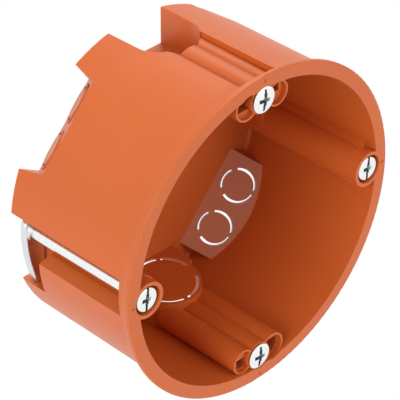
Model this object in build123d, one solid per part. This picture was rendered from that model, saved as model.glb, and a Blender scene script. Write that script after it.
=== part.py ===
from build123d import *
import math
import os

# Frame: Y runs along the box from the front plane of the flange (0) to the back,
# +X is to the right and +Z up for a person who faces the open mouth.
# The housing repeats itself after half a turn about Y.

# Housing shell
BODY_R_FRONT = 33.74
BODY_BACK_INSET = 0.36
BODY_R_BACK = BODY_R_FRONT - BODY_BACK_INSET
BRIM_OUT = 1.64
FLANGE_R = BODY_R_FRONT + BRIM_OUT
BRIM_T = 0.8
FLARE_OUT = 1.1
BRIM_FLAT_R = BODY_R_FRONT + FLARE_OUT
FLARE_END_Y = 4.3
WALL_FRONT = 1.24
MOUTH_R = BODY_R_FRONT - WALL_FRONT
WALL_BACK = 1.5
CAVITY_R_BACK = BODY_R_BACK - WALL_BACK
DEPTH = 34.53
FLOOR_T = 1.33
FLOOR_Y = DEPTH - FLOOR_T
EDGE_R = 0.25
BACK_EDGE_R = 0.3
FLOOR_CORNER_R = 0.8
OVERCUT = 6.0
ROOT = 0.1

# Shallow relief at the back edge, next to each niche
RELIEF_ANGLE = 50.4
RELIEF_HALF_ANGLE = 12.4
RELIEF_DEPTH = 0.5
RELIEF_LEN = 6.9

# Slanted corner panels with two small ring knockouts each
PANEL_ANGLE = 137.5
PANEL_SLOPE = 1.026
PANEL_DROP = 7.75
PANEL_OUT_D = BODY_R_BACK - PANEL_DROP
PANEL_STEP = 0.76
PANEL_IN_D = PANEL_OUT_D - PANEL_STEP
PANEL_IN_Y = FLOOR_Y - 2 * ROOT
PANEL_OUT_HALF = 9.9
PANEL_IN_HALF = 11.0
PANEL_SIDE_TILT = 18.0
PANEL_REACH = DEPTH - ROOT
PANEL_HEIGHT = DEPTH / 3
SMALL_RING_R = 3.44
SMALL_SLOT_W = 0.55
SMALL_RING_OFFSET = 4.95
SMALL_RING_BACK = 4.87
SMALL_RING_Y = DEPTH - SMALL_RING_BACK
SMALL_RING_ARCS = [(-31.0, 81.0), (96.0, 212.0), (234.0, 310.0)]
SMALL_PAD_R = 4.2
SMALL_PAD_H = 0.3
SLOT_CUTTER_H = 6.0

# Niches behind the device screw bosses, each with one large ring knockout in a thin floor
NICHE_HALF = 6.85
NICHE_END_R = 6.75
NICHE_WALL = 1.5
NICHE_END_WALL = 0.55
NICHE_CENTRE_BACK = 8.13
NICHE_CENTRE_Y = DEPTH - NICHE_CENTRE_BACK
NICHE_SHOULDER = 0.8
NICHE_SHOULDER_Y = NICHE_CENTRE_Y + NICHE_SHOULDER
NICHE_DROP = 8.98
NICHE_FLOOR_BACK = BODY_R_BACK - NICHE_DROP
NICHE_FLOOR_T = 0.42
NICHE_SLOPE = 0.12
NICHE_ROOT_DROP = 18.4
NICHE_RIM_R = 0.25
NICHE_RIM_NEAR = 0.05
BOSS_RIM_NEAR = 0.6
LARGE_RING_R = 6.38
LARGE_SLOT_W = 0.68
LARGE_RING_AHEAD = 0.06
LARGE_RING_Y = NICHE_CENTRE_Y - LARGE_RING_AHEAD
LARGE_RING_ARCS = [(3.5, 57.0), (64.0, 166.0), (174.0, 260.5), (267.5, 335.0)]
LARGE_CUTTER_H = 3.0

# Bosses for the device screws, 60 mm apart, with an open tube on each side.
# The tubes are given as x, drop below the screw, outer radius, bore radius.
SCREW_INSET = 3.74
SCREW_Z = BODY_R_FRONT - SCREW_INSET
CENTRE_LOBE_R = 3.05
NEAR_LOBE = (-4.0, 0.0, 3.05, 2.65)
FAR_LOBE = (4.1, 0.55, 2.72, 2.35)
NEAR_RIB = (-4.45, 2.95)
DEEP_BORE_LESS = 0.4
LOBE_FRONT_Y = 0.55
LOBE_END_BACK = 12.53
LOBE_END_Y = DEPTH - LOBE_END_BACK
LEDGE_Y = 1.5
NEAR_LEDGE_DROP = 1.25
FAR_LEDGE_DROP = 0.7
FAR_LEDGE_X = 5.2
TUBE_DEPTH = 15.0
RECESS_FRONT_Y = 2.3
RECESS_NEAR_X = -4.3
RECESS_FAR_X = 5.35
RECESS_DROP = 0.2

# Device screws with raised countersunk heads
DEVICE_HEAD_R = 2.75
DEVICE_HEAD_TOP = -0.22
DEVICE_HEAD_RIM = 0.15
DEVICE_RIM_T = 0.15
DEVICE_SHANK_R = 1.45
DEVICE_CONE_H = 1.35
DEVICE_END_Y = 16.0
DEVICE_TIP_H = 1.6
DEVICE_TIP_R = 0.5
HOLE_GAP = 0.05
SINK_GAP = 0.12
DEVICE_HOLE_END = 18.0

# Clamp screws and their bosses
CLAMP_INSET = 3.4
CLAMP_X = BODY_R_FRONT - CLAMP_INSET
CLAMP_BOSS_R = 3.85
CLAMP_RECESS_R = 3.1
CLAMP_RECESS_END = 2.45
CLAMP_HEAD_R = 2.6
CLAMP_HEAD_TOP = 0.22
CLAMP_HEAD_END = 2.4
CLAMP_HEAD_EDGE = 0.35
CLAMP_SHANK_R = 1.4
CLAMP_END_BACK = 1.03
CLAMP_END_Y = DEPTH - CLAMP_END_BACK
CLAMP_TIP = 0.3
SLOT_FRONT_Y = 4.3
SLOT_INNER_R = 3.25
SLOT_HALF_OUT = 4.1
SLOT_OUT_INSET = 0.34
SLOT_OUT_X = BODY_R_FRONT - SLOT_OUT_INSET
CHANNEL_FRONT_Y = 2.3
CHANNEL_R = 4.05
CHANNEL_HALF_OUT = 5.76

# Pockets in which the claws lie until they are used
CLAW_TIP_R = 12.3
POCKET_GAP = 0.2
POCKET_Z = CLAW_TIP_R + POCKET_GAP
POCKET_INSET = 6.34
POCKET_FLOOR_X = BODY_R_FRONT - POCKET_INSET
POCKET_WALL = 1.2
POCKET_NEAR_BACK = 7.73
POCKET_FAR_BACK = 6.7
POCKET_FRONT_NEAR = DEPTH - POCKET_NEAR_BACK
POCKET_FRONT_FAR = DEPTH - POCKET_FAR_BACK
POCKET_NEAR_Z = 4.2

# Claws
CLAW_BACK = 3.53
CLAW_FRONT_Y = DEPTH - CLAW_BACK
CLAW_T = 1.45
CLAW_OUT_INSET = 1.14
CLAW_OUT_R = BODY_R_FRONT - CLAW_OUT_INSET
CLAW_BLANK = 6.0
CLAW_INNER_X = 2.5
CLAW_HEEL_R = 3.05
CLAW_COLLAR_R = 1.95
CLAW_COLLAR_H = 0.65
CLAW_COLLAR_Y = CLAW_FRONT_Y - CLAW_COLLAR_H
CLAW_HOLE_R = 1.45
CLAW_EDGE_R = 0.55

# Screw recesses and index marks
RECESS_TURN = 6.0
CROSS_LEN = 3.0
CROSS_W = 0.8
CROSS_DEPTH = 1.25
DEVICE_SLOT_LEN = 4.5
SLOT_W = 0.55
SLOT_DEPTH = 0.8
CLAMP_CROSS_LEN = 2.5
MARK_W = 0.4
MARK_LEN = 0.8
MARK_DEPTH = 0.12
MARK_INSET = 1.18
MARK_R = FLANGE_R - MARK_INSET


def turned(outline):
    return revolve(make_face(outline), Axis.Y, 360)


def rod(x, z, radius, y0, y1):
    return Location((x, (y0 + y1) / 2, z)) * Rotation(90, 0, 0) * Cylinder(radius, y1 - y0)


def taper(x, z, r0, r1, y0, y1):
    return Location((x, (y0 + y1) / 2, z)) * Rotation(-90, 0, 0) * Cone(r0, r1, y1 - y0)


def block(x0, x1, y0, y1, z0, z1):
    centre = ((x0 + x1) / 2, (y0 + y1) / 2, (z0 + z1) / 2)
    return Location(centre) * Box(x1 - x0, y1 - y0, z1 - z0)


def half_turn(shape):
    return shape.rotate(Axis.Y, 180)


def corner_arc(centre, radius, a0, a1):
    pts = []
    for a in (a0, (a0 + a1) / 2, a1):
        rad = math.radians(a)
        pts.append((centre[0] + radius * math.cos(rad), centre[1] + radius * math.sin(rad)))
    return ThreePointArc(*pts)


# Outer form of the shell: brim, flare and slightly tapered barrel
def outer_form():
    flare_r = ((FLARE_END_Y - BRIM_T) ** 2 + (BRIM_FLAT_R - BODY_R_FRONT) ** 2)
    flare_r = flare_r / (2 * (BRIM_FLAT_R - BODY_R_FRONT))
    centre = (BODY_R_FRONT + flare_r, FLARE_END_Y)
    start = math.degrees(math.atan2(BRIM_T - centre[1], BRIM_FLAT_R - centre[0]))
    mid = math.radians((start - 180) / 2 if start < 0 else (start + 180) / 2)
    flare_mid = (centre[0] + flare_r * math.cos(mid), centre[1] + flare_r * math.sin(mid))
    e = EDGE_R
    b = BACK_EDGE_R
    lines = [
        Line((0, 0), (FLANGE_R - e, 0)),
        corner_arc((FLANGE_R - e, e), e, -90, 0),
        Line((FLANGE_R, e), (FLANGE_R, BRIM_T)),
        Line((FLANGE_R, BRIM_T), (BRIM_FLAT_R, BRIM_T)),
        ThreePointArc((BRIM_FLAT_R, BRIM_T), flare_mid, (BODY_R_FRONT, FLARE_END_Y)),
        Line((BODY_R_FRONT, FLARE_END_Y), (BODY_R_BACK, DEPTH - b)),
        corner_arc((BODY_R_BACK - b, DEPTH - b), b, 0, 90),
        Line((BODY_R_BACK - b, DEPTH), (0, DEPTH)),
        Line((0, DEPTH), (0, 0)),
    ]
    return turned(Curve() + lines)


def inner_form():
    c = FLOOR_CORNER_R
    lines = [
        Line((0, -OVERCUT), (MOUTH_R, -OVERCUT)),
        Line((MOUTH_R, -OVERCUT), (MOUTH_R, 0)),
        Line((MOUTH_R, 0), (CAVITY_R_BACK, FLOOR_Y - c)),
        corner_arc((CAVITY_R_BACK - c, FLOOR_Y - c), c, 0, 90),
        Line((CAVITY_R_BACK - c, FLOOR_Y), (0, FLOOR_Y)),
        Line((0, FLOOR_Y), (0, -OVERCUT)),
    ]
    return turned(Curve() + lines)


# Slanted panel: local x runs along the panel, y down its slope, z out of the box
def panel_plane(distance, y):
    rad = math.radians(PANEL_ANGLE)
    radial = Vector(math.cos(rad), 0, math.sin(rad))
    along = Vector(-math.sin(rad), 0, math.cos(rad))
    normal = (radial + Vector(0, PANEL_SLOPE, 0)).normalized()
    origin = radial * distance + Vector(0, y, 0)
    return Plane(origin=origin, x_dir=along, z_dir=normal)


def panel_wedge(distance, y, half):
    spread = half + PANEL_HEIGHT * math.tan(math.radians(PANEL_SIDE_TILT))
    face = make_face(Polyline((-half, 0), (half, 0), (spread, PANEL_HEIGHT),
                              (-spread, PANEL_HEIGHT), close=True))
    plane = panel_plane(distance, y)
    section = Plane(origin=plane.origin - plane.y_dir * PANEL_REACH, x_dir=plane.x_dir,
                    z_dir=-plane.y_dir)
    return extrude(section * face, -2 * PANEL_REACH)


def ring_slots(radius, width, arcs, height):
    ring = Cylinder(radius + width / 2, height) - Cylinder(radius - width / 2, height)
    slots = Part()
    reach = 3 * radius
    for a0, a1 in arcs:
        steps = 4
        fan = [(0, 0)]
        for i in range(steps + 1):
            a = math.radians(a0 + (a1 - a0) * i / steps)
            fan.append((reach * math.cos(a), reach * math.sin(a)))
        wedge = extrude(make_face(Polyline(*fan, close=True)), height, both=True)
        slots += ring & wedge
    return slots


# Where one small ring knockout sits: on the inner face of the panel, looking out
def small_ring_places():
    distance = PANEL_IN_D + PANEL_SLOPE * (PANEL_IN_Y - SMALL_RING_Y)
    plane = panel_plane(distance, SMALL_RING_Y)
    return [plane * Location((side * SMALL_RING_OFFSET, 0, 0)) for side in (-1, 1)]


def panel_thickness():
    run = PANEL_OUT_D + PANEL_SLOPE * (DEPTH - PANEL_IN_Y) - PANEL_IN_D
    return run / math.sqrt(1 + PANEL_SLOPE ** 2)


def small_pads():
    height = panel_thickness() + SMALL_PAD_H
    pads = Part()
    for place in small_ring_places():
        pads += place * Location((0, 0, height / 2)) * Cylinder(SMALL_PAD_R, height)
    return pads


def small_knockouts():
    slots = ring_slots(SMALL_RING_R, SMALL_SLOT_W, SMALL_RING_ARCS, SLOT_CUTTER_H)
    cuts = Part()
    for place in small_ring_places():
        turn = Rotation(180, 0, 0) if Plane(place).y_dir.Y > 0 else Rotation(0, 0, 0)
        cuts += place * turn * slots
    return cuts


# Shallow conical relief of the barrel at the back edge
def back_relief():
    a0 = math.radians(RELIEF_ANGLE - RELIEF_HALF_ANGLE)
    a1 = math.radians(RELIEF_ANGLE + RELIEF_HALF_ANGLE)
    reach = 2 * FLANGE_R
    corners = [(0, 0), (reach * math.cos(a0), reach * math.sin(a0)),
               (reach * math.cos(a1), reach * math.sin(a1))]
    y0 = DEPTH - RELIEF_LEN
    sector = solid_between(corners, y0, DEPTH + OVERCUT)
    grow = RELIEF_DEPTH / RELIEF_LEN
    r0 = BODY_R_BACK + BODY_BACK_INSET * RELIEF_LEN / DEPTH
    r1 = r0 - grow * (RELIEF_LEN + OVERCUT)
    return sector - taper(0, 0, r0, r1, y0, DEPTH + OVERCUT)


# U-shaped column along Z, open to the back and slightly wider there
def niche_column(grow, z0, z1):
    end_r = NICHE_END_R + grow
    back_half = NICHE_HALF + grow
    far_y = DEPTH + OVERCUT
    far_half = back_half + (back_half - end_r) * OVERCUT / NICHE_CENTRE_BACK
    column = Location((0, NICHE_CENTRE_Y, (z0 + z1) / 2)) * Cylinder(end_r, z1 - z0)
    face = make_face(Polyline((-end_r, NICHE_CENTRE_Y), (end_r, NICHE_CENTRE_Y),
                              (far_half, far_y), (-far_half, far_y), close=True))
    return column + Location((0, 0, z0)) * extrude(face, z1 - z0)


# Walls round a niche: thick at its sides and thin round its front end
def niche_walls(z0):
    sides = niche_column(NICHE_WALL, z0, FLANGE_R)
    sides &= block(-FLANGE_R, FLANGE_R, NICHE_SHOULDER_Y, DEPTH, z0, FLANGE_R)
    return sides + niche_column(NICHE_END_WALL, z0, FLANGE_R)


def above_slope(back_z, back_y):
    y0 = -OVERCUT
    y1 = DEPTH + 2 * OVERCUT
    z_y0 = back_z + NICHE_SLOPE * (back_y - y0)
    z_y1 = back_z + NICHE_SLOPE * (back_y - y1)
    top = FLANGE_R + OVERCUT
    face = make_face(Polyline((y0, z_y0), (y1, z_y1), (y1, top), (y0, top), close=True))
    return extrude(Plane.YZ * face, PANEL_REACH, both=True)


def slope_z(back_z, back_y, y):
    return back_z + NICHE_SLOPE * (back_y - y)


def large_knockout():
    outer_z = slope_z(NICHE_FLOOR_BACK, DEPTH, LARGE_RING_Y)
    tilt = Rotation(-math.degrees(math.atan(NICHE_SLOPE)), 0, 0)
    place = Location((0, LARGE_RING_Y, outer_z)) * tilt
    mirrored_arcs = [(180 - a1, 180 - a0) for a0, a1 in LARGE_RING_ARCS]
    return place * ring_slots(LARGE_RING_R, LARGE_SLOT_W, mirrored_arcs, LARGE_CUTTER_H)


def lobes(y0, y1):
    group = rod(0, SCREW_Z, CENTRE_LOBE_R, y0, y1)
    for x, drop, radius, _ in (NEAR_LOBE, FAR_LOBE):
        group += rod(x, SCREW_Z - drop, radius, y0, y1)
    return group


# What stays in the outer recess: the screw boss, the far tube and a slimmer rib on the near tube
def outer_ribs():
    x, drop, radius, _ = FAR_LOBE
    end_y = LOBE_END_Y + OVERCUT
    ribs = rod(0, SCREW_Z, CENTRE_LOBE_R, 0, end_y) + rod(x, SCREW_Z - drop, radius, 0, end_y)
    rib_x, rib_r = NEAR_RIB
    return ribs + rod(rib_x, SCREW_Z, rib_r, 0, end_y)


# Open tubes beside a device screw: wide down to a ledge, then only their outer part goes on
def tube_bores():
    top = FLANGE_R + OVERCUT
    y0 = LEDGE_Y - ROOT
    near_hole = block(-FLANGE_R, 0, y0, TUBE_DEPTH, SCREW_Z - NEAR_LEDGE_DROP, top)
    far_hole = block(0, FAR_LEDGE_X, y0, TUBE_DEPTH, SCREW_Z - FAR_LEDGE_DROP, top)
    bores = Part()
    for lobe, hole in ((NEAR_LOBE, near_hole), (FAR_LOBE, far_hole)):
        x, drop, _, bore_r = lobe
        z = SCREW_Z - drop
        bores += rod(x, z, bore_r, -OVERCUT, LEDGE_Y)
        bores += rod(x, z, bore_r - DEEP_BORE_LESS, y0, TUBE_DEPTH) & hole
    return bores - rod(0, SCREW_Z, CENTRE_LOBE_R, -OVERCUT, TUBE_DEPTH + OVERCUT)


# U-shaped space round a clamp screw that widens towards the outside
def clamp_channel(inner_r, half_out, y0, y1):
    flare = (half_out - inner_r) / (SLOT_OUT_X - CLAMP_X)
    far_x = SLOT_OUT_X + OVERCUT
    far_half = inner_r + flare * (far_x - CLAMP_X)
    corners = [(-CLAMP_X, -inner_r), (-CLAMP_X, inner_r),
               (-far_x, far_half), (-far_x, -far_half)]
    return solid_between(corners, y0, y1) + rod(-CLAMP_X, 0, inner_r, y0, y1)


# Prism along Y over corners given as x, z
def solid_between(corners, y0, y1):
    face = make_face(Polyline(*[(x, -z) for x, z in corners], close=True))
    plane = Plane(origin=(0, y0, 0), x_dir=(1, 0, 0), z_dir=(0, 1, 0))
    return extrude(plane * face, y1 - y0)


def pocket_space(grow):
    slope = (POCKET_FRONT_FAR - POCKET_FRONT_NEAR) / (POCKET_Z - POCKET_NEAR_Z)
    z_end = -POCKET_Z - grow
    y_start = POCKET_FRONT_NEAR - slope * POCKET_NEAR_Z - grow
    y_end = y_start - slope * z_end
    back = DEPTH + OVERCUT if grow == 0 else FLOOR_Y + ROOT
    out_x = -FLANGE_R - OVERCUT if grow == 0 else -BODY_R_FRONT
    in_x = -POCKET_FLOOR_X + grow
    face = make_face(Polyline((y_start, 0), (back, 0), (back, z_end), (y_end, z_end), close=True))
    plane = Plane(origin=(out_x, 0, 0), x_dir=(0, 1, 0), z_dir=(1, 0, 0))
    return extrude(plane * face, in_x - out_x)


def barrel_gap(point):
    radius = BODY_R_FRONT - BODY_BACK_INSET * point.Y / DEPTH
    return radius - math.hypot(point.X, point.Z)


def niche_end_gap(point):
    return NICHE_END_R - math.hypot(point.X, point.Y - NICHE_CENTRE_Y)


# Rims of the round niche ends on the barrel, and the end of the screw boss in each niche
def niche_rims(body):
    rims = []
    for edge in body.edges():
        points = [edge @ 0, edge @ 0.5, edge @ 1]
        on_end = all(abs(niche_end_gap(p)) < NICHE_RIM_NEAR for p in points)
        on_barrel = all(abs(barrel_gap(p)) < NICHE_RIM_NEAR for p in points)
        reaches_side = max(p.Y for p in points) > NICHE_CENTRE_Y - NICHE_RIM_NEAR
        boss_wide = abs(edge.length - 2 * CENTRE_LOBE_R) < BOSS_RIM_NEAR
        on_boss = boss_wide and abs(points[1].X) < BOSS_RIM_NEAR
        if on_end and (on_barrel and reaches_side or on_boss):
            rims.append(edge)
    return rims


def housing():
    # walls that stand inside the round cavity
    walls = panel_wedge(PANEL_IN_D, PANEL_IN_Y, PANEL_IN_HALF)
    niche_root = BODY_R_BACK - NICHE_ROOT_DROP
    walls += niche_walls(niche_root) & above_slope(NICHE_FLOOR_BACK - NICHE_FLOOR_T, DEPTH)
    walls += lobes(LOBE_FRONT_Y, LOBE_END_Y)
    walls += rod(-CLAMP_X, 0, CLAMP_BOSS_R, 0, CHANNEL_FRONT_Y + ROOT)
    walls += clamp_channel(CHANNEL_R, CHANNEL_HALF_OUT, CHANNEL_FRONT_Y, FLOOR_Y + ROOT)
    walls += pocket_space(POCKET_WALL)
    cavity = inner_form() - walls - half_turn(walls)
    body = outer_form() - cavity

    # openings cut from outside
    cuts = panel_wedge(PANEL_OUT_D, DEPTH, PANEL_OUT_HALF) - small_pads()
    cuts += niche_column(0, niche_root, FLANGE_R + OVERCUT) & above_slope(
        NICHE_FLOOR_BACK, DEPTH)
    recess = block(RECESS_NEAR_X, RECESS_FAR_X, RECESS_FRONT_Y, LOBE_END_Y,
                   SCREW_Z - RECESS_DROP, FLANGE_R + OVERCUT)
    cuts += recess - outer_ribs()
    cuts += clamp_channel(SLOT_INNER_R, SLOT_HALF_OUT, SLOT_FRONT_Y, DEPTH + OVERCUT)
    cuts += pocket_space(0)
    cuts += back_relief()
    cuts += rod(-CLAMP_X, 0, CLAMP_RECESS_R, -OVERCUT, CLAMP_RECESS_END)
    cuts += rod(-CLAMP_X, 0, CLAMP_SHANK_R + HOLE_GAP, -OVERCUT, SLOT_FRONT_Y + ROOT)
    cuts += rod(0, SCREW_Z, DEVICE_SHANK_R + HOLE_GAP, -OVERCUT, DEVICE_HOLE_END)
    seat_y = DEVICE_HEAD_RIM + DEVICE_RIM_T + HOLE_GAP
    cuts += rod(0, SCREW_Z, DEVICE_HEAD_R + SINK_GAP, -OVERCUT, seat_y)
    cuts += taper(0, SCREW_Z, DEVICE_HEAD_R + HOLE_GAP, DEVICE_SHANK_R + HOLE_GAP, seat_y,
                  seat_y + DEVICE_CONE_H)
    cuts += tube_bores()
    cuts += small_knockouts()
    cuts += large_knockout()
    cuts += block(-MARK_W / 2, MARK_W / 2, -OVERCUT, MARK_DEPTH, MARK_R - MARK_LEN / 2,
                  MARK_R + MARK_LEN / 2)
    cuts += block(-MARK_R - MARK_LEN / 2, -MARK_R + MARK_LEN / 2, -OVERCUT, MARK_DEPTH,
                  -MARK_W / 2, MARK_W / 2)
    body = body - cuts - half_turn(cuts)
    return fillet(niche_rims(body), NICHE_RIM_R)


# Cross recess with a straight slot through it
def screw_recess(cross_len, slot_len, y0):
    recess = Part()
    half = cross_len / 2
    for quarter in (0, 90):
        face = make_face(Polyline((-half, y0 - OVERCUT), (half, y0 - OVERCUT), (half, y0),
                                  (half / 3, y0 + CROSS_DEPTH), (-half / 3, y0 + CROSS_DEPTH),
                                  (-half, y0), close=True))
        arm = extrude(face, CROSS_W / 2, both=True)
        recess += arm.rotate(Axis.Y, quarter)
    recess += block(-SLOT_W / 2, SLOT_W / 2, y0 - OVERCUT, y0 + SLOT_DEPTH, -slot_len / 2, slot_len / 2)
    return recess.rotate(Axis.Y, RECESS_TURN)


def device_screw():
    rim0 = DEVICE_HEAD_RIM
    rim1 = DEVICE_HEAD_RIM + DEVICE_RIM_T
    cone_end = rim1 + DEVICE_CONE_H
    dome_r = DEVICE_HEAD_R / 2
    lines = [
        ThreePointArc((0, DEVICE_HEAD_TOP), (dome_r, DEVICE_HEAD_TOP + (rim0 - DEVICE_HEAD_TOP) / 4),
                      (DEVICE_HEAD_R, rim0)),
        Line((DEVICE_HEAD_R, rim0), (DEVICE_HEAD_R, rim1)),
        Line((DEVICE_HEAD_R, rim1), (DEVICE_SHANK_R, cone_end)),
        Line((DEVICE_SHANK_R, cone_end), (DEVICE_SHANK_R, DEVICE_END_Y - DEVICE_TIP_H)),
        Line((DEVICE_SHANK_R, DEVICE_END_Y - DEVICE_TIP_H), (DEVICE_TIP_R, DEVICE_END_Y)),
        Line((DEVICE_TIP_R, DEVICE_END_Y), (0, DEVICE_END_Y)),
        Line((0, DEVICE_END_Y), (0, DEVICE_HEAD_TOP)),
    ]
    screw = turned(Curve() + lines) - screw_recess(CROSS_LEN, DEVICE_SLOT_LEN, DEVICE_HEAD_TOP + ROOT)
    return Location((0, 0, SCREW_Z)) * screw


def clamp_screw():
    e = CLAMP_HEAD_EDGE
    top = CLAMP_HEAD_TOP
    lines = [
        Line((0, top), (CLAMP_HEAD_R - e, top)),
        corner_arc((CLAMP_HEAD_R - e, top + e), e, -90, 0),
        Line((CLAMP_HEAD_R, top + e), (CLAMP_HEAD_R, CLAMP_HEAD_END)),
        Line((CLAMP_HEAD_R, CLAMP_HEAD_END), (CLAMP_SHANK_R, CLAMP_HEAD_END)),
        Line((CLAMP_SHANK_R, CLAMP_HEAD_END), (CLAMP_SHANK_R, CLAMP_END_Y - CLAMP_TIP)),
        Line((CLAMP_SHANK_R, CLAMP_END_Y - CLAMP_TIP), (CLAMP_SHANK_R - CLAMP_TIP, CLAMP_END_Y)),
        Line((CLAMP_SHANK_R - CLAMP_TIP, CLAMP_END_Y), (0, CLAMP_END_Y)),
        Line((0, CLAMP_END_Y), (0, top)),
    ]
    screw = turned(Curve() + lines) - screw_recess(CLAMP_CROSS_LEN, 3 * CLAMP_HEAD_R, top)
    return Location((-CLAMP_X, 0, 0)) * screw


def claw():
    y0 = CLAW_FRONT_Y
    y1 = CLAW_FRONT_Y + CLAW_T
    wing = block(-CLAMP_X - CLAW_BLANK, -CLAMP_X + CLAW_INNER_X, y0, y1, -2 * CLAW_TIP_R, 0)
    wing = wing & rod(-CLAMP_X, 0, CLAW_TIP_R, y0, y1)
    wing += rod(-CLAMP_X, 0, CLAW_HEEL_R, y0, y1)
    wing = wing & rod(0, 0, CLAW_OUT_R, y0 - OVERCUT, y1 + OVERCUT)
    front = wing.faces().sort_by(Axis.Y)[0]
    wing = fillet(front.edges(), CLAW_EDGE_R)
    wing += rod(-CLAMP_X, 0, CLAW_COLLAR_R, CLAW_COLLAR_Y, y0 + 2 * ROOT)
    return wing - rod(-CLAMP_X, 0, CLAW_HOLE_R, CLAW_COLLAR_Y - OVERCUT, y1 + OVERCUT)


os.makedirs("parts", exist_ok=True)
pieces = {"housing": housing()}
screw = device_screw()
pieces["device_screw_top"] = screw
pieces["device_screw_bottom"] = half_turn(screw)
screw = clamp_screw()
pieces["clamp_screw_left"] = screw
pieces["clamp_screw_right"] = half_turn(screw)
one_claw = claw()
pieces["claw_left"] = one_claw
pieces["claw_right"] = half_turn(one_claw)
for name, shape in pieces.items():
    solids = shape.solids()
    box = shape.bounding_box()
    print(name, len(solids), "solid", round(shape.volume, 2), "mm3", box.min, box.max)
    export_step(shape, "parts/" + name + ".step")
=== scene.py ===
# Studio scene of a round orange back box for hollow walls, seen from its upper front left.
import math

import bmesh
import bpy
from mathutils import Matrix, Vector


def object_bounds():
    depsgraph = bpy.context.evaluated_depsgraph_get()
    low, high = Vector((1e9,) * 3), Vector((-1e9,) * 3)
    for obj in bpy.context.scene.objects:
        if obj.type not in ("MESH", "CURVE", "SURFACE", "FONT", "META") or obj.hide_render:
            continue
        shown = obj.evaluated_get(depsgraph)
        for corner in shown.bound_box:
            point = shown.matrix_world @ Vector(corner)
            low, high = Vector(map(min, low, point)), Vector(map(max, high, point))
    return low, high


MM = 0.001

# Camera, fitted to the photograph: its angles in degrees, its sensor and lens in millimetres
CAMERA_PLACE = Vector((-299.63, -280.49, 294.19)) * MM
CAMERA_AZIMUTH = -45.23
CAMERA_ELEVATION = 34.94
CAMERA_ROLL = 0.14
SENSOR_WIDTH = 36.0
LENS = 238.42

# Floor, in metres, far under the box, which the photograph shows clear of any surface
FLOOR_DROP = 0.30
FLOOR_SIZE = 6.0

# Colours, linear
WHITE = (1.0, 1.0, 1.0, 1.0)
PAPER_WHITE = (0.92, 0.92, 0.92, 1.0)
ORANGE_PALE = (0.58, 0.118, 0.021, 1.0)
ORANGE_DEEP = (0.52, 0.100, 0.014, 1.0)
# Painted light, a paler colour that stands in for light shining through the thin slanted panels
PANEL_PAINTED_LIGHT = (0.50, 0.134, 0.046, 1.0)
ZINC_LIGHT = (0.96, 0.97, 0.96, 1.0)
ZINC_DARK = (0.84, 0.87, 0.86, 1.0)
# Painted shade, a darker colour that stands in for the shade in the hollows of the screw heads
RECESS_PAINTED_SHADE = (0.34, 0.37, 0.375, 1.0)
CLAW_LIGHT = (0.84, 0.86, 0.86, 1.0)
CLAW_DARK = (0.70, 0.72, 0.73, 1.0)

# Skins: two colours that drift into each other, the noise scale of that drift and of the
# grain, the range of the roughness, and the height of the grain in metres
PLASTIC_SKIN = {
    "Pale": ORANGE_PALE, "Deep": ORANGE_DEEP, "Drift scale": 60.0, "Grain scale": 3200.0,
    "Roughness low": 0.36, "Roughness high": 0.46, "Grain height": 0.000006,
}
SCREW_SKIN = {
    "Pale": ZINC_LIGHT, "Deep": ZINC_DARK, "Drift scale": 700.0, "Grain scale": 9000.0,
    "Roughness low": 0.18, "Roughness high": 0.30, "Grain height": 0.000003,
}
CLAW_SKIN = {
    "Pale": CLAW_LIGHT, "Deep": CLAW_DARK, "Drift scale": 500.0, "Grain scale": 7000.0,
    "Roughness low": 0.25, "Roughness high": 0.40, "Grain height": 0.000005,
}
DRIFT_DETAIL = 3.0
GRAIN_DETAIL = 2.0
PLASTIC_SPECULAR = 0.42

# Screw heads, in millimetres: how far the axis lies from the middle across and up, where the
# middle of the head stands along the box, how far its dome falls at its rim, and the radius
# and the depth that hold either kind of head
DEVICE_HEAD = {"Axis across": 0.0, "Axis up": 30.0, "Top": -0.22, "Dome": 0.37}
CLAMP_HEAD = {"Axis across": 30.34, "Axis up": 0.0, "Top": 0.22, "Dome": 0.0}
HEAD_R = 2.75
HEAD_DEEP = 2.2

# Recess in a screw head, where shade is painted into the colour: the depths in millimetres between
# which the painted shade sets in, and how far out it goes, as a share of the head's radius squared
RECESS_START = 0.04
RECESS_FULL = 0.22
RECESS_SHARE = 0.85

# Inner face of the slanted panels, in millimetres: its direction round the axis in degrees,
# its slope along the box, where its plane stands, how thick a skin counts as the face, how
# far the face reaches out and, wider towards the mouth, to its sides, and the box's floor
PANEL_ANGLE = 137.5
PANEL_SLOPE = 1.026
PANEL_STAND = 58.73
PANEL_SKIN = 0.35
PANEL_REACH = 31.8
PANEL_SIDE = 26.45
PANEL_WIDEN = 0.4656
FLOOR_FACE = 33.2

# Light: the strength that shows as plain white, the strength of the sky as it lights the box,
# and the lamps, with the way to each from the mouth of the box, how far off it stands and how
# wide it is in metres, and its power in watts
PLAIN_STRENGTH = 1.0
SKY_STRENGTH = 0.72
LAMPS = (
    {"name": "key", "way": (0.55, 0.35, 1.0), "stand_off": 1.0, "width": 0.35, "power": 4.8},
    {"name": "left_fill", "way": (-1.0, -0.2, 0.45), "stand_off": 1.0, "width": 0.6, "power": 5.2},
    {"name": "front_fill", "way": (0.35, -1.0, 0.25), "stand_off": 1.2, "width": 0.8, "power": 3.7},
)


# Adds a node with its settings; each input takes a plain value or another node's output
def add_node(tree, kind, inputs, **settings):
    node = tree.nodes.new(kind)
    for name, value in settings.items():
        setattr(node, name, value)
    for socket, source in inputs.items():
        if isinstance(source, bpy.types.NodeSocket):
            tree.links.new(source, node.inputs[socket])
        else:
            node.inputs[socket].default_value = source
    return node


def new_material(name):
    material = bpy.data.materials.new(name)
    material.use_nodes = True
    material.node_tree.nodes.clear()
    return material


# Starts a node group from the names and kinds of its inputs and outputs
def new_group(name, inputs, outputs):
    group = bpy.data.node_groups.new(name, "ShaderNodeTree")
    for way, sockets in (("INPUT", inputs), ("OUTPUT", outputs)):
        for label, kind in sockets.items():
            group.interface.new_socket(name=label, in_out=way, socket_type="NodeSocket" + kind)
    return group


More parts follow.
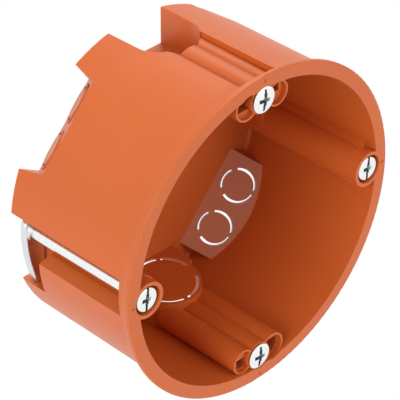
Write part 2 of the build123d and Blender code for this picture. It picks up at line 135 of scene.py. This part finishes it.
def calculate(tree, operation, *terms):
    step = add_node(tree, "ShaderNodeMath", dict(enumerate(terms)), operation=operation)
    return step.outputs["Value"]


def add_squares(tree, first, second):
    return calculate(tree, "MULTIPLY_ADD", first, first, calculate(tree, "MULTIPLY", second, second))


# One where every one of the masks is one
def all_of(tree, first, *others):
    mask = first
    for other in others:
        mask = calculate(tree, "MULTIPLY", mask, other)
    return mask


def mix_colours(tree, share, first, second):
    mix = add_node(
        tree, "ShaderNodeMix", {"Factor": share, "A": first, "B": second}, data_type="RGBA")
    return mix.outputs["Result"]


# Place on a piece, in millimetres
def place_in_mm(tree):
    place = add_node(tree, "ShaderNodeTexCoord", {})
    scaled = add_node(
        tree, "ShaderNodeVectorMath", {0: place.outputs["Object"], "Scale": 1.0 / MM},
        operation="SCALE")
    return scaled.outputs["Vector"]


# How far a place lies along a direction
def along(tree, place, way):
    part = add_node(tree, "ShaderNodeVectorMath", {0: place, 1: way}, operation="DOT_PRODUCT")
    return part.outputs["Value"]


# Shared finish: slow drift of colour and roughness, and fine grain, on a moulded or plated skin
def make_skin_group():
    group = new_group(
        "surface_skin",
        {"Pale": "Color", "Deep": "Color", "Drift scale": "Float", "Grain scale": "Float",
         "Roughness low": "Float", "Roughness high": "Float", "Grain height": "Float"},
        {"Colour": "Color", "Roughness": "Float", "Normal": "Vector"})
    given = add_node(group, "NodeGroupInput", {}).outputs
    place = add_node(group, "ShaderNodeTexCoord", {}).outputs["Object"]
    drift = add_node(group, "ShaderNodeTexNoise", {
        "Vector": place, "Scale": given["Drift scale"], "Detail": DRIFT_DETAIL}).outputs["Fac"]
    grain = add_node(group, "ShaderNodeTexNoise", {
        "Vector": place, "Scale": given["Grain scale"], "Detail": GRAIN_DETAIL}).outputs["Fac"]
    roughness = add_node(group, "ShaderNodeMapRange", {
        "Value": drift, "To Min": given["Roughness low"], "To Max": given["Roughness high"]})
    bump = add_node(group, "ShaderNodeBump", {
        "Strength": 1.0, "Distance": given["Grain height"], "Height": grain})
    add_node(group, "NodeGroupOutput", {
        "Colour": mix_colours(group, drift, given["Deep"], given["Pale"]),
        "Roughness": roughness.outputs["Result"],
        "Normal": bump.outputs["Normal"]})
    return group


# Mask of painted shade in the hollow of a screw's head: one below the face of the head, none on it
# or the shank
def make_recess_shade_group():
    group = new_group("screw_recess_painted_shade", dict.fromkeys(DEVICE_HEAD, "Float"), {"Mask": "Float"})
    head = add_node(group, "NodeGroupInput", {}).outputs
    place = add_node(group, "ShaderNodeSeparateXYZ", {"Vector": place_in_mm(group)}).outputs
    beside = calculate(group, "ABSOLUTE", place["X"])
    above = calculate(group, "ABSOLUTE", place["Z"])
    across = calculate(group, "SUBTRACT", beside, head["Axis across"])
    up = calculate(group, "SUBTRACT", above, head["Axis up"])
    share = calculate(group, "DIVIDE", add_squares(group, across, up), HEAD_R * HEAD_R)
    face = calculate(group, "MULTIPLY_ADD", share, head["Dome"], head["Top"])
    depth = calculate(group, "SUBTRACT", place["Y"], face)
    fade = add_node(
        group, "ShaderNodeMapRange",
        {"Value": depth, "From Min": RECESS_START, "From Max": RECESS_FULL},
        interpolation_type="SMOOTHSTEP")
    inside = calculate(group, "LESS_THAN", share, RECESS_SHARE)
    shallow = calculate(group, "LESS_THAN", depth, HEAD_DEEP)
    add_node(group, "NodeGroupOutput", {
        "Mask": all_of(group, fade.outputs["Result"], inside, shallow)})
    return group


# Mask of the inner faces of the slanted panels, where a paler colour is painted on as painted light,
# standing in for light shining through the thin plastic
def make_panel_light_group():
    group = new_group("thin_panel_painted_light", {}, {"Mask": "Float"})
    place = place_in_mm(group)
    turn = math.radians(PANEL_ANGLE)
    outward = along(group, place, (math.cos(turn), 0.0, math.sin(turn)))
    sideways = along(group, place, (-math.sin(turn), 0.0, math.cos(turn)))
    back = along(group, place, (0.0, 1.0, 0.0))
    out = calculate(group, "ABSOLUTE", outward)
    side = calculate(group, "ABSOLUTE", sideways)
    stand = calculate(group, "MULTIPLY_ADD", back, PANEL_SLOPE, out)
    on_plane = calculate(group, "COMPARE", stand, PANEL_STAND, PANEL_SKIN)
    reach = add_squares(group, out, side)
    inside = calculate(group, "LESS_THAN", reach, PANEL_REACH * PANEL_REACH)
    spread = calculate(group, "MULTIPLY_ADD", back, PANEL_WIDEN, side)
    between = calculate(group, "LESS_THAN", spread, PANEL_SIDE)
    before_floor = calculate(group, "LESS_THAN", back, FLOOR_FACE)
    add_node(group, "NodeGroupOutput", {
        "Mask": all_of(group, on_plane, inside, between, before_floor)})
    return group


# Ends a material in a shader with a colour, a skin's roughness and grain, and plain values
def finish_shell(tree, colour, skin, plain):
    shell = add_node(tree, "ShaderNodeBsdfPrincipled", {
        "Base Color": colour, "Roughness": skin["Roughness"], "Normal": skin["Normal"], **plain})
    add_node(tree, "ShaderNodeOutputMaterial", {"Surface": shell.outputs["BSDF"]})


def make_orange_plastic(skin_group, panel_light_group):
    material = new_material("orange_polypropylene")
    tree = material.node_tree
    skin = add_node(tree, "ShaderNodeGroup", PLASTIC_SKIN, node_tree=skin_group).outputs
    panel_light = add_node(tree, "ShaderNodeGroup", {}, node_tree=panel_light_group).outputs
    # Painted light: the panels' inner faces are made paler in their colour
    colour = mix_colours(tree, panel_light["Mask"], skin["Colour"], PANEL_PAINTED_LIGHT)
    finish_shell(tree, colour, skin, {"Specular IOR Level": PLASTIC_SPECULAR})
    return material


def make_screw_steel(name, skin_group, recess_shade_group, head):
    material = new_material(name)
    tree = material.node_tree
    skin = add_node(tree, "ShaderNodeGroup", SCREW_SKIN, node_tree=skin_group).outputs
    recess_shade = add_node(tree, "ShaderNodeGroup", head, node_tree=recess_shade_group).outputs
    # Painted shade: the hollow of the head is darkened in its colour
    colour = mix_colours(tree, recess_shade["Mask"], skin["Colour"], RECESS_PAINTED_SHADE)
    finish_shell(tree, colour, skin, {"Metallic": 1.0})
    return material


def make_claw_steel(skin_group):
    material = new_material("zinc_plated_claw")
    tree = material.node_tree
    skin = add_node(tree, "ShaderNodeGroup", CLAW_SKIN, node_tree=skin_group).outputs
    finish_shell(tree, skin["Colour"], skin, {"Metallic": 1.0})
    return material


def dress_nodes(nodes, names, material):
    for name in names:
        nodes[name].data.materials.clear()
        nodes[name].data.materials.append(material)


# Shows one shader to rays that see the background, straight or in metal or glass, and the
# other to the rest, which carry light to the box
def split_by_ray(tree, seen, lit):
    path = add_node(tree, "ShaderNodeLightPath", {}).outputs
    straight = calculate(tree, "MAXIMUM", path["Is Camera Ray"], path["Is Transmission Ray"])
    share = calculate(tree, "MAXIMUM", straight, path["Is Glossy Ray"])
    blend = add_node(tree, "ShaderNodeMixShader", {"Fac": share, 1: lit, 2: seen})
    return blend.outputs["Shader"]


# Paper that is seen as plain white, but takes and gives light as white paper does
def make_floor_paper():
    material = new_material("white_floor")
    tree = material.node_tree
    glow = add_node(tree, "ShaderNodeEmission", {"Color": WHITE, "Strength": PLAIN_STRENGTH})
    paper = add_node(tree, "ShaderNodeBsdfDiffuse", {"Color": PAPER_WHITE})
    surface = split_by_ray(tree, glow.outputs["Emission"], paper.outputs["BSDF"])
    add_node(tree, "ShaderNodeOutputMaterial", {"Surface": surface})
    return material


def make_floor(height):
    sheet = bmesh.new()
    bmesh.ops.create_grid(sheet, x_segments=1, y_segments=1, size=FLOOR_SIZE / 2)
    bmesh.ops.translate(sheet, verts=sheet.verts, vec=(0.0, 0.0, height))
    mesh = bpy.data.meshes.new("floor")
    sheet.to_mesh(mesh)
    sheet.free()
    mesh.materials.append(make_floor_paper())
    floor = bpy.data.objects.new("floor", mesh)
    bpy.context.collection.objects.link(floor)


# Sky that is seen as plain white and gives a softer light
def make_sky():
    world = bpy.data.worlds.new("studio")
    bpy.context.scene.world = world
    world.use_nodes = True
    tree = world.node_tree
    tree.nodes.clear()
    white = add_node(tree, "ShaderNodeBackground", {"Color": WHITE, "Strength": PLAIN_STRENGTH})
    soft = add_node(tree, "ShaderNodeBackground", {"Color": WHITE, "Strength": SKY_STRENGTH})
    surface = split_by_ray(tree, white.outputs["Background"], soft.outputs["Background"])
    add_node(tree, "ShaderNodeOutputWorld", {"Surface": surface})


# Round soft lamp that points at the middle of the box's mouth
def add_lamp(name, way, stand_off, width, power):
    lamp = bpy.data.lights.new(name, "AREA")
    lamp.shape = "DISK"
    lamp.size = width
    lamp.energy = power
    light = bpy.data.objects.new(name, lamp)
    bpy.context.collection.objects.link(light)
    away = Vector(way).normalized()
    light.location = away * stand_off
    light.rotation_euler = away.to_track_quat("Z", "Y").to_euler()


# Camera, which looks straight down until it is tilted up to its elevation
def add_camera():
    eye = bpy.data.cameras.new("camera")
    eye.sensor_width = SENSOR_WIDTH
    eye.lens = LENS
    camera = bpy.data.objects.new("camera", eye)
    bpy.context.collection.objects.link(camera)
    tilt = Matrix.Rotation(math.radians(90.0 - CAMERA_ELEVATION), 4, "X")
    turn = Matrix.Rotation(math.radians(CAMERA_AZIMUTH), 4, "Z")
    roll = Matrix.Rotation(math.radians(CAMERA_ROLL), 4, "Z")
    camera.matrix_world = Matrix.Translation(CAMERA_PLACE) @ turn @ tilt @ roll
    bpy.context.scene.camera = camera


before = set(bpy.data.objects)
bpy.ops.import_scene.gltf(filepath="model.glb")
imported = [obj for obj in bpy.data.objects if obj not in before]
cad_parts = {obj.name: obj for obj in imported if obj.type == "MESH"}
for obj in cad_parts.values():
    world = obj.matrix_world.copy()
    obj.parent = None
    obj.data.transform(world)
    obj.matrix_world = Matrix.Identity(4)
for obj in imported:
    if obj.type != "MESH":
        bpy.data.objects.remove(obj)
cad_low, cad_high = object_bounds()

bpy.context.scene.view_settings.view_transform = "Standard"
add_camera()

skin_group = make_skin_group()
recess_shade_group = make_recess_shade_group()
orange_plastic = make_orange_plastic(skin_group, make_panel_light_group())
device_steel = make_screw_steel("zinc_plated_device_screw", skin_group, recess_shade_group, DEVICE_HEAD)
clamp_steel = make_screw_steel("zinc_plated_clamp_screw", skin_group, recess_shade_group, CLAMP_HEAD)
claw_steel = make_claw_steel(skin_group)

dress_nodes(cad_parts, ("housing",), orange_plastic)
dress_nodes(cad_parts, ("device_screw_top", "device_screw_bottom"), device_steel)
dress_nodes(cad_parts, ("clamp_screw_left", "clamp_screw_right"), clamp_steel)
dress_nodes(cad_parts, ("claw_left", "claw_right"), claw_steel)

make_floor(cad_low[2] - FLOOR_DROP)
make_sky()
for lamp_values in LAMPS:
    add_lamp(**lamp_values)
